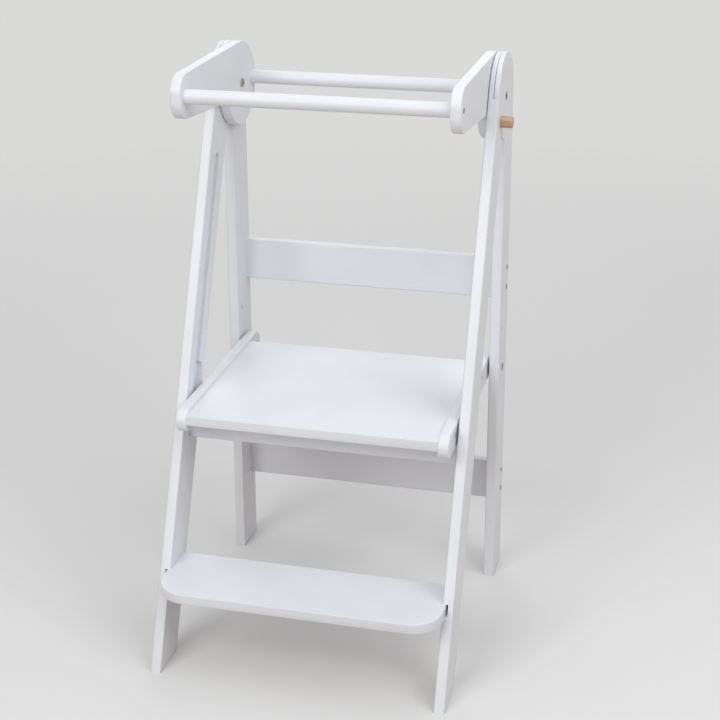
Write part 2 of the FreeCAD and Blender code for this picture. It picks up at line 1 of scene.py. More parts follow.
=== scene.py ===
"""Looks of a toddler's folding kitchen helper stool, made around its packed construction.

The boards, rails and dowels keep their construction meshes and get softened edges and a satin white
lacquer whose faint grain runs along each board. The guide pins keep theirs too, in zinc. Bolts,
sleeve nuts, washers, screws and the wooden lock pegs are turned surfaces, worked out as whole numpy
arrays, that stand for their plain solids.
Lengths are metres. +Z is up, -Y is the side the child climbs, +X is the right-hand side from there.
"""

import logging
import math
from dataclasses import dataclass, field
from enum import Enum
from typing import Callable, Sequence

import bpy
import numpy as np
from mathutils import Matrix, Vector

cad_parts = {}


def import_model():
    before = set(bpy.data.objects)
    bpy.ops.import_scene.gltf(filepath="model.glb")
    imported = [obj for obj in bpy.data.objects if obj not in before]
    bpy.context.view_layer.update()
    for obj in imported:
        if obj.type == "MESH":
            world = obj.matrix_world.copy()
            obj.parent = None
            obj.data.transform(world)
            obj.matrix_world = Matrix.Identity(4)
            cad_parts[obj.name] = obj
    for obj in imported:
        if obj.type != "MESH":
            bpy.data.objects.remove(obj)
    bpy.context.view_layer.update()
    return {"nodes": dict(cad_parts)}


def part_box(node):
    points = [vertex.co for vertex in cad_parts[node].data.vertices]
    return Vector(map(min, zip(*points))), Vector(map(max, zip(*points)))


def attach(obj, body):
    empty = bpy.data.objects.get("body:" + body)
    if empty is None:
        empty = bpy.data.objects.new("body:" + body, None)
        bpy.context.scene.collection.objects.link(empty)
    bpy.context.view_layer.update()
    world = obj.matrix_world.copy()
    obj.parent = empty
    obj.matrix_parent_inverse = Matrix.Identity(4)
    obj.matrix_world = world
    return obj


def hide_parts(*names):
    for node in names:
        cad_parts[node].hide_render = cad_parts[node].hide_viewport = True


LOG = logging.getLogger("helper_stool")
MM = 0.001
SAME_PLACE = 1e-7

Colour = tuple[float, float, float]
Point = tuple[float, float]
Relief = tuple[float, float]
RadiusShape = Callable[[np.ndarray, np.ndarray, np.ndarray], np.ndarray]


class Side(Enum):
    """The two sides of the stool; the value is the sign of X."""

    LEFT = -1
    RIGHT = 1

    @property
    def word(self) -> str:
        """The side's name as the pieces carry it."""
        return self.name.lower()


class Grain(Enum):
    """Which way a board's grain runs: the axis it starts along, then its turn about X in degrees."""

    ACROSS = ("X", 0.0)
    FRONT_LEG = ("Z", -23.46)
    REAR_LEG = ("Z", -1.68)
    FORE_AND_AFT = ("Z", 90.0)
    GUARD = ("Z", 86.0)


class Recess(Enum):
    """The recess in a fastener's head; the value is how many sides or arms it has."""

    HEXAGON = 6
    CROSS = 4


# ---- meshes ------------------------------------------------------------------------------------

def vertices_of(mesh: bpy.types.Mesh) -> np.ndarray:
    """Return a mesh's vertices as rows of X, Y and Z.

    Args:
        mesh: the mesh to read.

    Returns:
        An array with one row for each vertex.
    """
    places = np.zeros(len(mesh.vertices) * 3)
    mesh.vertices.foreach_get("co", places)
    return places.reshape(-1, 3)


def arc_profile(centre: Point, radius: float, start: float, end: float, steps: int) -> list[Point]:
    """Return points of an arc in the (x, r) half plane.

    Each point is the centre plus the radius times (cos a, sin a), with the angle a stepping evenly
    from start to end.

    Args:
        centre: the arc's centre as (x, r).
        radius: the arc's radius.
        start: the first angle, in degrees.
        end: the last angle, in degrees.
        steps: how many stretches the arc has.

    Returns:
        The points, from start to end.
    """
    angles = np.radians(np.linspace(start, end, steps + 1))
    return [(centre[0] + radius * math.cos(a), centre[1] + radius * math.sin(a)) for a in angles]


def plain_round(x: np.ndarray, r: np.ndarray, angle: np.ndarray) -> np.ndarray:
    """Return the radius unchanged, for a plain turned surface."""
    return r


def turned_mesh(name: str, profile: Sequence[Point], segments: int, looped: bool = False,
                shape: RadiusShape = plain_round) -> bpy.types.Mesh:
    """Return a surface turned about the X axis.

    A point at profile place i and angle a is (x_i, R cos a, R sin a), where R = shape(x_i, r_i, a).
    All rings are worked out as one array. The profile runs so that the surface lies on its left,
    and both of its ends are closed by one point on the axis unless it is a loop.

    Args:
        name: the mesh's name.
        profile: (x, r) points; the first and last have r = 0 unless looped.
        segments: points round the axis.
        looped: whether the profile closes on itself, as a washer's does.
        shape: the radius as a function of x, r and the angle.

    Returns:
        The mesh, with its faces pointing outwards.
    """
    rings = np.array(profile if looped else profile[1:-1], float)
    angle = np.linspace(0.0, 2 * math.pi, segments, endpoint=False)
    x, turn = np.meshgrid(rings[:, 0], angle, indexing="ij")
    r = shape(x, np.repeat(rings[:, 1:], segments, axis=1), turn)
    vertices = np.stack([x, r * np.cos(turn), r * np.sin(turn)], axis=-1).reshape(-1, 3)

    count = len(rings)
    here = np.arange(count if looped else count - 1)[:, None]
    there = (here + 1) % count
    column = np.arange(segments)[None, :]
    beside = (column + 1) % segments
    quads = np.stack([here * segments + column, here * segments + beside,
                      there * segments + beside, there * segments + column], axis=-1).reshape(-1, 4)
    faces = quads.tolist()
    if not looped:
        first, last = len(vertices), len(vertices) + 1
        ends = np.array([[profile[0][0], 0.0, 0.0], [profile[-1][0], 0.0, 0.0]])
        vertices = np.vstack([vertices, ends])
        column = np.arange(segments)
        beside = (column + 1) % segments
        base = (count - 1) * segments
        faces += np.stack([np.full(segments, first), beside, column], axis=-1).tolist()
        faces += np.stack([np.full(segments, last), base + column, base + beside], axis=-1).tolist()
    mesh = bpy.data.meshes.new(name)
    mesh.from_pydata(vertices.tolist(), [], faces)
    mesh.validate()
    point_outwards(mesh)
    return mesh


def point_outwards(mesh: bpy.types.Mesh) -> None:
    """Turn a closed mesh inside out if the volume it encloses comes out negative.

    The volume is a sixth of the sum, over the triangles, of a . (b x c).

    Args:
        mesh: the mesh to turn.
    """
    mesh.calc_loop_triangles()
    corners = np.zeros(len(mesh.loop_triangles) * 3, np.int32)
    mesh.loop_triangles.foreach_get("vertices", corners)
    a, b, c = vertices_of(mesh)[corners.reshape(-1, 3)].transpose(1, 0, 2)
    if np.einsum("ij,ij->i", a, np.cross(b, c)).sum() < 0:
        mesh.flip_normals()


def recess_shape(recess: Recess, x_rim: float, inward: int, width: float) -> RadiusShape:
    """Return the radius function that makes the recess of a head hexagonal or cross-shaped.

    Rings that lie deeper than the rim and not outside the recess are reshaped, with n sides or arms.
    A hexagon's radius is r cos(pi / n) / cos(the angle folded into +-pi / n). A cross's is
    r (core + (1 - core) |cos(n a / 2)| ^ sharpness).

    Args:
        recess: the kind of recess.
        x_rim: where the recess begins under the head's face.
        inward: the sign of X towards the recess's floor.
        width: the recess's largest radius.

    Returns:
        The radius function.
    """
    core, sharpness = 0.42, 6
    half = math.pi / recess.value

    def shape(x: np.ndarray, r: np.ndarray, angle: np.ndarray) -> np.ndarray:
        """Return the radius, reshaped inside the recess.

        Args:
            x: each point's X.
            r: each point's radius before.
            angle: each point's angle round the axis.

        Returns:
            Each point's radius.
        """
        inside = ((x - x_rim) * inward > -SAME_PLACE) & (r < width + SAME_PLACE)
        if recess is Recess.HEXAGON:
            folded = np.mod(angle + half, 2 * half) - half
            factor = math.cos(half) / np.cos(folded)
        else:
            arms = np.abs(np.cos(recess.value / 2 * angle)) ** sharpness
            factor = core + (1 - core) * arms
        return np.where(inside, r * factor, r)

    return shape


def place(mesh: bpy.types.Mesh, at: Point, side: Side, body: str, node: str, slot: str,
          material: bpy.types.Material, soft_angle: float = 40.0) -> bpy.types.Object:
    """Put a turned mesh, made about X on the right, at its place on its body, and hide the node it
    stands for.

    Args:
        mesh: the surface, turned about the X axis through the origin.
        at: the (y, z) of its axis.
        side: LEFT mirrors it.
        body: the body it rides on.
        node: the construction node it stands for.
        slot: the record's material slot; not used.
        material: its finish.
        soft_angle: edges under this angle are shaded smooth, in degrees.

    Returns:
        The new object, at the origin with its place in its mesh.
    """
    turn = Matrix.Diagonal((side.value, 1.0, 1.0, 1.0))
    mesh.transform(Matrix.Translation((0.0, *at)) @ turn)
    point_outwards(mesh)
    mesh.materials.append(material)
    mesh.shade_smooth()
    mesh.set_sharp_from_angle(angle=math.radians(soft_angle))
    piece = bpy.data.objects.new(mesh.name, mesh)
    bpy.context.scene.collection.objects.link(piece)
    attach(piece, body)
    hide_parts(node)
    LOG.info("%s: %d faces on body %s", piece.name, len(mesh.polygons), body)
    return piece


# ---- finishes ----------------------------------------------------------------------------------

class NodeSheet:
    """A small helper that lays out one material's shader nodes."""

    def __init__(self, name: str) -> None:
        """Make the material with an empty tree, a principled shader and an output.

        Args:
            name: the material's name.
        """
        self.material = bpy.data.materials.new(name)
        self.material.use_nodes = True
        self.tree = self.material.node_tree
        self.tree.nodes.clear()
        self.shader = self.tree.nodes.new("ShaderNodeBsdfPrincipled")
        self.output = self.tree.nodes.new("ShaderNodeOutputMaterial")
        self.link(self.shader.outputs["BSDF"], self.output.inputs["Surface"])

    def link(self, source: bpy.types.NodeSocket, target: bpy.types.NodeSocket) -> None:
        """Join two sockets."""
        self.tree.links.new(source, target)

    def node(self, kind: str, **values: object) -> bpy.types.Node:
        """Return a new node of the tree.

        Args:
            kind: the node's type.
            values: what to set; a value whose name is an input's sets that input, else a property.

        Returns:
            The node.
        """
        made = self.tree.nodes.new(kind)
        for key, value in values.items():
            label = key.replace("_", " ").title()
            if label in made.inputs:
                made.inputs[label].default_value = value
            else:
                setattr(made, key, value)
        return made

    def set(self, **values: float) -> None:
        """Set sockets of the principled shader.

        Args:
            values: the numbers by the sockets' names, with _ for a space.
        """
        names = {socket.name.lower(): socket for socket in self.shader.inputs}
        for key, value in values.items():
            names[key.replace("_", " ")].default_value = value

    def drive(self, colour: bpy.types.NodeSocket, roughness: bpy.types.NodeSocket,
              normal: bpy.types.NodeSocket) -> None:
        """Link the three patterns that vary over the surface into the shader.

        Args:
            colour: the base colour.
            roughness: the roughness.
            normal: the bumped normal.
        """
        self.link(colour, self.shader.inputs["Base Color"])
        self.link(roughness, self.shader.inputs["Roughness"])
        self.link(normal, self.shader.inputs["Normal"])

    def object_coordinates(self, turn: Sequence[float] = (0.0, 0.0, 0.0),
                           scale: Sequence[float] = (1.0, 1.0, 1.0),
                           centre: Sequence[float] = (0.0, 0.0, 0.0)) -> bpy.types.NodeSocket:
        """Return object coordinates, moved by -centre, turned back by turn and scaled.

        Args:
            turn: angles of the pattern's own axes about X, Y and Z, in radians.
            scale: how many times denser the pattern is along its own axes.
            centre: the point that becomes the pattern's origin.

        Returns:
            The vector socket.
        """
        texture = self.node("ShaderNodeTexCoord")
        shift = self.node("ShaderNodeMapping", vector_type="POINT")
        shift.inputs["Location"].default_value = [-value for value in centre]
        self.link(texture.outputs["Object"], shift.inputs["Vector"])
        turned = self.node("ShaderNodeMapping", vector_type="POINT")
        turned.inputs["Rotation"].default_value = [-value for value in turn]
        self.link(shift.outputs["Vector"], turned.inputs["Vector"])
        scaled = self.node("ShaderNodeMapping", vector_type="POINT")
        scaled.inputs["Scale"].default_value = scale
        self.link(turned.outputs["Vector"], scaled.inputs["Vector"])
        return scaled.outputs["Vector"]

    def noise(self, vector: bpy.types.NodeSocket, scale: float, detail: float = 2.0,
              roughness: float = 0.5) -> bpy.types.NodeSocket:
        """Return a noise value read at a vector.

        Args:
            vector: where the noise is read.
            scale: its features per metre.
            detail: how many finer layers it has.
            roughness: how strong each finer layer is.

        Returns:
            The value socket.
        """
        made = self.node("ShaderNodeTexNoise", scale=scale, detail=detail, roughness=roughness)
        self.link(vector, made.inputs["Vector"])
        return made.outputs["Fac"]

    def spread(self, value: bpy.types.NodeSocket, low: float, high: float,
               source: Point = (0.3, 0.7)) -> bpy.types.NodeSocket:
        """Return a value carried from one range to another, clamped.

        Args:
            value: the value.
            low: what the start of the source range becomes.
            high: what its end becomes.
            source: the source range.

        Returns:
            The value socket.
        """
        made = self.node("ShaderNodeMapRange")
        made.inputs["From Min"].default_value = source[0]
        made.inputs["From Max"].default_value = source[1]
        made.inputs["To Min"].default_value = low
        made.inputs["To Max"].default_value = high
        self.link(value, made.inputs["Value"])
        return made.outputs["Result"]

    def blend(self, factor: bpy.types.NodeSocket, first: Colour | bpy.types.NodeSocket,
              second: Colour | bpy.types.NodeSocket) -> bpy.types.NodeSocket:
        """Return a colour between two.

        Args:
            factor: 0 for the first colour and 1 for the second.
            first: a colour or a socket that gives one.
            second: a colour or a socket that gives one.

        Returns:
            The colour socket.
        """
        made = self.node("ShaderNodeMix", data_type="RGBA")
        self.link(factor, made.inputs["Factor"])
        for socket, colour in ((made.inputs[6], first), (made.inputs[7], second)):
            if isinstance(colour, bpy.types.NodeSocket):
                self.link(colour, socket)
            else:
                socket.default_value = (*colour, 1.0)
        return made.outputs[2]

    def bump(self, height: bpy.types.NodeSocket, relief: Relief,
             under: bpy.types.NodeSocket | None = None) -> bpy.types.NodeSocket:
        """Return a normal bumped by a height.

        Args:
            height: the height pattern.
            relief: how strong and how high it is.
            under: another bumped normal that it lies on.

        Returns:
            The normal socket.
        """
        strength, distance = relief
        made = self.node("ShaderNodeBump", strength=strength, distance=distance)
        self.link(height, made.inputs["Height"])
        if under is not None:
            self.link(under, made.inputs["Normal"])
        return made.outputs["Normal"]


@dataclass(frozen=True)
class Lacquer:
    """Satin white lacquer, sprayed in thin coats so that a trace of the board's grain shows.

    Patterns are in features per metre. A relief is a bump's strength, then its height in metres.
    """

    light: Colour = (0.795, 0.812, 0.85)
    shade: Colour = (0.755, 0.772, 0.805)
    pore_tint: Colour = (0.68, 0.685, 0.69)
    sheen_low: float = 0.36
    sheen_high: float = 0.50
    grain_stretch: float = 0.055
    pores: float = 420.0
    bands: float = 95.0
    clouds: float = 9.0
    orange_peel: float = 900.0
    pore_share: float = 0.34
    pore_range: Point = (0.60, 0.74)
    pore_relief: Relief = (0.10, 0.0004)
    band_relief: Relief = (0.16, 0.0005)
    peel_relief: Relief = (0.05, 0.0001)

    def material(self, name: str, grain: Grain, centre: Sequence[float]) -> bpy.types.Material:
        """Return the lacquer for one board.

        Args:
            name: the material's name.
            grain: which way the board's grain runs.
            centre: the board's middle, which moves the pattern from board to board.

        Returns:
            The material.
        """
        sheet = NodeSheet(name)
        axis, degrees = grain.value
        turn = (math.radians(degrees), 0.0, 0.0)
        along = self.grain_stretch
        scale = (along, 1.0, 1.0) if axis == "X" else (1.0, 1.0, along)
        stretched = sheet.object_coordinates(turn, scale, centre)
        even = sheet.object_coordinates(turn, (1.0, 1.0, 1.0), centre)

        bands = sheet.noise(stretched, self.bands, 3.0, 0.55)
        pores = sheet.noise(stretched, self.pores, 4.0, 0.62)
        clouds = sheet.noise(even, self.clouds, 2.0, 0.5)
        orange_peel = sheet.noise(even, self.orange_peel, 1.0, 0.4)

        coat = sheet.blend(sheet.spread(clouds, 0.0, 1.0), self.light, self.shade)
        in_pores = sheet.spread(pores, 0.0, self.pore_share, self.pore_range)
        grain_relief = sheet.bump(bands, self.band_relief, sheet.bump(pores, self.pore_relief))
        sheet.drive(colour=sheet.blend(in_pores, coat, self.pore_tint),
                    roughness=sheet.spread(bands, self.sheen_low, self.sheen_high),
                    normal=sheet.bump(orange_peel, self.peel_relief, grain_relief))
        sheet.set(specular_ior_level=0.45, ior=1.48, coat_weight=0.12, coat_roughness=0.3)
        return sheet.material


@dataclass(frozen=True)
class OiledWood:
    """Bare oiled hardwood of a turned peg, with rings on its end and long grain on its sides."""

    early: Colour = (0.70, 0.45, 0.285)
    late: Colour = (0.54, 0.315, 0.185)
    fleck: Colour = (0.36, 0.19, 0.105)
    grain_stretch: float = 0.10
    rings_scale: float = 82.5
    rings_waviness: float = 3.2
    rings_finer: Point = (2.0, 1.6)
    fibres: float = 1500.0
    fleck_share: float = 0.55
    fibre_relief: Relief = (0.35, 0.0003)

    def material(self, name: str, pith: Sequence[float]) -> bpy.types.Material:
        """Return the wood, with its growth rings about a line along X through the pith.

        Args:
            name: the material's name.
            pith: a point on the line that the rings go round.

        Returns:
            The material.
        """
        sheet = NodeSheet(name)
        vector = sheet.object_coordinates(scale=(self.grain_stretch, 1.0, 1.0), centre=pith)
        detail, detail_scale = self.rings_finer
        wave = sheet.node("ShaderNodeTexWave", wave_type="RINGS", rings_direction="X",
                          wave_profile="SAW", scale=self.rings_scale, detail=detail,
                          distortion=self.rings_waviness, detail_scale=detail_scale)
        sheet.link(vector, wave.inputs["Vector"])
        fibre = sheet.noise(vector, self.fibres, 4.0, 0.6)
        in_late = sheet.spread(wave.outputs["Fac"], 0.0, 0.85, (0.1, 0.95))
        in_fleck = sheet.spread(fibre, 0.0, self.fleck_share, (0.55, 0.72))
        rings = sheet.blend(in_late, self.early, self.late)
        sheet.drive(colour=sheet.blend(in_fleck, rings, self.fleck),
                    roughness=sheet.spread(fibre, 0.42, 0.58),
                    normal=sheet.bump(fibre, self.fibre_relief))
        sheet.set(specular_ior_level=0.4, ior=1.46)
        return sheet.material


@dataclass(frozen=True)
class Metal:
    """A fastener's metal, with fine turning marks round its axis and a little grime."""

    colour: Colour
    worn: Colour
    metallic: float
    rough_low: float
    rough_high: float
    marks: float = 900.0
    marks_packed: float = 6.0
    grime: float = 260.0
    grime_share: float = 0.8
    relief: Relief = (0.25, 0.0001)

    def material(self, name: str) -> bpy.types.Material:
        """Return the metal.

        Args:
            name: the material's name.

        Returns:
            The material.
        """
        sheet = NodeSheet(name)
        packed = sheet.object_coordinates(scale=(self.marks_packed, 1.0, 1.0))
        marks = sheet.noise(packed, self.marks, 3.0, 0.6)
        grime = sheet.noise(sheet.object_coordinates(), self.grime, 2.0, 0.5)
        in_grime = sheet.spread(grime, 0.0, self.grime_share)
        sheet.drive(colour=sheet.blend(in_grime, self.colour, self.worn),
                    roughness=sheet.spread(marks, self.rough_low, self.rough_high),
                    normal=sheet.bump(marks, self.relief))
        sheet.set(metallic=self.metallic, specular_ior_level=0.5)
        return sheet.material


@dataclass(frozen=True)
class Nylon:
    """Natural nylon of the washers, slightly waxy."""

    colour: Colour = (0.70, 0.70, 0.66)
    dull: Colour = (0.60, 0.60, 0.56)
    clouds: float = 300.0
    relief: Relief = (0.12, 0.0002)

    def material(self, name: str) -> bpy.types.Material:
        """Return the nylon.

        Args:
            name: the material's name.

        Returns:
            The material.
        """
        sheet = NodeSheet(name)
        clouds = sheet.noise(sheet.object_coordinates(), self.clouds, 3.0, 0.5)
        sheet.drive(colour=sheet.blend(sheet.spread(clouds, 0.0, 1.0), self.colour, self.dull),
                    roughness=sheet.spread(clouds, 0.38, 0.5),
                    normal=sheet.bump(clouds, self.relief))
        sheet.set(subsurface_weight=0.08, specular_ior_level=0.45)
        return sheet.material


BLACK_STEEL = Metal((0.022, 0.022, 0.024), (0.05, 0.05, 0.052), 0.75, 0.34, 0.52)
ZINC = Metal((0.52, 0.53, 0.55), (0.36, 0.37, 0.38), 1.0, 0.28, 0.45)
BRASS = Metal((0.62, 0.59, 0.41), (0.27, 0.24, 0.16), 1.0, 0.24, 0.40)


# ---- boards that keep their construction meshes --------------------------------------------------

@dataclass
class SoftenedEdges:
    """Shades a construction mesh as a sanded and painted board, with modifiers alone.

    Equal points are merged, edges turning by more than sharp_angle stay sharp, and the rest are
    smooth, with the normals weighted by face area so that chamfers read as rounded edges.
    """

    sharp_angle: float = 50.0
    merge_within: float = 0.002 * MM
    area_weight: int = 80
    tree: bpy.types.NodeTree | None = None

    def build(self) -> "SoftenedEdges":
        """Make the geometry tree that all boards share.

        Returns:
            This object, ready to dress boards.
        """
        tree = bpy.data.node_groups.new("sanded_edges", "GeometryNodeTree")
        tree.interface.new_socket("Geometry", in_out="INPUT", socket_type="NodeSocketGeometry")
        tree.interface.new_socket("Geometry", in_out="OUTPUT", socket_type="NodeSocketGeometry")
        source = tree.nodes.new("NodeGroupInput")
        sink = tree.nodes.new("NodeGroupOutput")
        merge = tree.nodes.new("GeometryNodeMergeByDistance")
        merge.inputs["Distance"].default_value = self.merge_within
        angle = tree.nodes.new("GeometryNodeInputMeshEdgeAngle")
        compare = tree.nodes.new("FunctionNodeCompare")
        compare.operation = "LESS_THAN"
        compare.inputs[1].default_value = math.radians(self.sharp_angle)
        faces = tree.nodes.new("GeometryNodeSetShadeSmooth")
        faces.domain = "FACE"
        edges = tree.nodes.new("GeometryNodeSetShadeSmooth")
        edges.domain = "EDGE"
        tree.links.new(source.outputs[0], merge.inputs["Geometry"])
        tree.links.new(merge.outputs["Geometry"], faces.inputs["Geometry"])
        tree.links.new(faces.outputs["Geometry"], edges.inputs["Geometry"])
        tree.links.new(angle.outputs["Unsigned Angle"], compare.inputs[0])
        tree.links.new(compare.outputs["Result"], edges.inputs["Shade Smooth"])
        tree.links.new(edges.outputs["Geometry"], sink.inputs[0])
        self.tree = tree
        return self

    def dress(self, node: bpy.types.Object, material: bpy.types.Material) -> None:
        """Give a construction node the softened edges and its finish.

        Args:
            node: the construction node's object.
            material: its finish.
        """
        soften = node.modifiers.new("sanded_edges", "NODES")
        soften.node_group = self.tree
        weigh = node.modifiers.new("weighted_normals", "WEIGHTED_NORMAL")
        weigh.keep_sharp = True
        weigh.mode = "FACE_AREA"
        weigh.weight = self.area_weight
        node.data.materials.clear()
        node.data.materials.append(material)
        LOG.info("%s keeps its mesh, in %s", node.name, material.name)


@dataclass
class Boards:
    """One sub-assembly's painted boards, by node name and the way each board's grain runs."""

    name: str
    grains: dict[str, Grain]
    finish: Lacquer = field(default_factory=Lacquer)

    def dress(self, nodes: dict[str, bpy.types.Object], edges: SoftenedEdges) -> None:
        """Give every board its edges and its own lacquer.

        Args:
            nodes: the construction nodes by name.
            edges: the shared edge treatment.
        """
        for node, grain in self.grains.items():
            low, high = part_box(node)
            material = self.finish.material(f"lacquer_{node}", grain, tuple((low + high) / 2))
            edges.dress(nodes[node], material)
        LOG.info("%s: %d boards", self.name, len(self.grains))


# ---- turned pieces -------------------------------------------------------------------------------

def middle_of(node: str) -> Point:
    """Return the (y, z) middle of a node whose solids share one axis along X."""
    low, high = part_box(node)
    return (low.y + high.y) / 2, (low.z + high.z) / 2


def radius_of(node: str) -> float:
    """Return the largest radius of a node whose solids share one axis along X."""
    low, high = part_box(node)
    return (high.z - low.z) / 2


def reach_of(node: str) -> Point:
    """Return the smallest and largest X of the right-hand solid of a mirrored pair."""
    x = vertices_of(bpy.data.objects[node].data)[:, 0]
    return float(x[x > 0].min()), float(x.max())


@dataclass
class PivotHardware:
    """The bolt, sleeve nut and washer of one pivot, on both sides of the stool.

    A hexagon is given by the radius to its corners, and a lip is how far below the face it begins.
    """

    word: str
    body: str
    bolt_diameter: float = 6.0 * MM
    head_diameter: float = 12.0 * MM
    head_height: float = 3.0 * MM
    bolt_hexagon: float = 2.3 * MM
    bolt_lip: float = 0.15 * MM
    bolt_recess: float = 1.9 * MM
    drill_point: float = 0.4 * MM
    nut_diameter: float = 9.0 * MM
    flange_height: float = 1.6 * MM
    nut_hexagon: float = 2.9 * MM
    nut_lip: float = 0.2 * MM
    nut_recess: float = 1.52 * MM
    nut_web: float = 0.6 * MM
    thread_clearance: float = 0.05 * MM
    washer_clearance: float = 0.25 * MM
    washer_rim: float = 0.3 * MM
    washer_rim_share: float = 0.45
    edge: float = 0.5 * MM
    segments: int = 72

    def bolt(self, tip: float, face: float) -> bpy.types.Mesh:
        """Return the bolt, a turned surface from its tip to its flat, hexagon-socket head.

        Args:
            tip: the X of its end inside the nut.
            face: the X of its head's face.

        Returns:
            The mesh, about the X axis.
        """
        shank, head, e = self.bolt_diameter / 2, self.head_diameter / 2, self.edge
        under, floor = face - self.head_height, face - self.bolt_recess
        rim = face - self.bolt_lip
        profile = [(tip, 0.0), (tip, shank - e), (tip + e, shank), (under, shank), (under, head)]
        profile += arc_profile((face - e, head - e), e, 90, 0, 4)
        profile += [(face, self.bolt_hexagon + e / 2), (rim, self.bolt_hexagon),
                    (floor, self.bolt_hexagon), (floor - self.drill_point, 0.0)]
        shape = recess_shape(Recess.HEXAGON, rim, -1, self.bolt_hexagon)
        return turned_mesh(f"{self.word}_pivot_bolt", profile, self.segments, shape=shape)

    def nut(self, low: float, high: float, flange: float) -> bpy.types.Mesh:
        """Return the sleeve nut, a turned surface of a round flange and a bored sleeve.

        Args:
            low: the X of its flange's face, which has the hexagon socket.
            high: the X of its sleeve's open end.
            flange: the flange's radius.

        Returns:
            The mesh, about the X axis.
        """
        sleeve, e = self.nut_diameter / 2, self.edge
        bore = self.bolt_diameter / 2 + self.thread_clearance
        top, rim = low + self.flange_height, low + self.nut_lip
        floor = low + self.nut_recess
        bottom = floor + self.nut_web
        profile = [(floor, 0.0), (floor, self.nut_hexagon), (rim, self.nut_hexagon),
                   (low, self.nut_hexagon + e / 2)]
        profile += arc_profile((low + e, flange - e), e, 180, 90, 4)
        profile += [(top - e / 2, flange), (top, flange - e / 2), (top, sleeve),
                    (high - e / 2, sleeve), (high, sleeve - e / 2), (high, bore),
                    (bottom, bore), (bottom, 0.0)]
        socket = recess_shape(Recess.HEXAGON, rim, 1, self.nut_hexagon)

        def shape(x: np.ndarray, r: np.ndarray, angle: np.ndarray) -> np.ndarray:
            """Return the socket's radius down to its floor; behind that everything is round."""
            return np.where(x <= floor + SAME_PLACE, socket(x, r, angle), r)

        return turned_mesh(f"{self.word}_sleeve_nut", profile, self.segments, shape=shape)

    def washer(self, low: float, high: float, outer: float) -> bpy.types.Mesh:
        """Return the washer, a flat ring with rounded rims.

        Args:
            low: the X of its inner face.
            high: the X of its outer face.
            outer: its outer radius.

        Returns:
            The mesh, about the X axis.
        """
        e = min(self.washer_rim, (high - low) * self.washer_rim_share)
        bore = self.bolt_diameter / 2 + self.washer_clearance
        profile = arc_profile((low + e, outer - e), e, 180, 90, 3)
        profile += arc_profile((high - e, outer - e), e, 90, 0, 3)
        profile += [(high, bore), (low, bore)]
        return turned_mesh(f"{self.word}_washer", profile, self.segments, looped=True)

    def build(self, bolt: bpy.types.Material, nut: bpy.types.Material,
              washer: bpy.types.Material) -> None:
        """Make both sides' bolts, nuts and washers, each where its plain solid lies.

        Args:
            bolt: the bolts' finish.
            nut: the nuts' finish.
            washer: the washers' finish.
        """
        bolts, nuts = f"{self.word}_pivot_bolts", f"{self.word}_barrel_nuts"
        washers = f"{self.word}_washers"
        at = middle_of(bolts)
        for side in Side:
            made = ((self.bolt(*reach_of(bolts)), bolts, "black_steel", bolt),
                    (self.nut(*reach_of(nuts), radius_of(nuts)), nuts, "brass_nut", nut),
                    (self.washer(*reach_of(washers), radius_of(washers)), washers,
                     "nylon_washer", washer))
            for mesh, node, slot, material in made:
                mesh.name = f"{mesh.name}_{side.word}"
                place(mesh, at, side, self.body, node, slot, material)


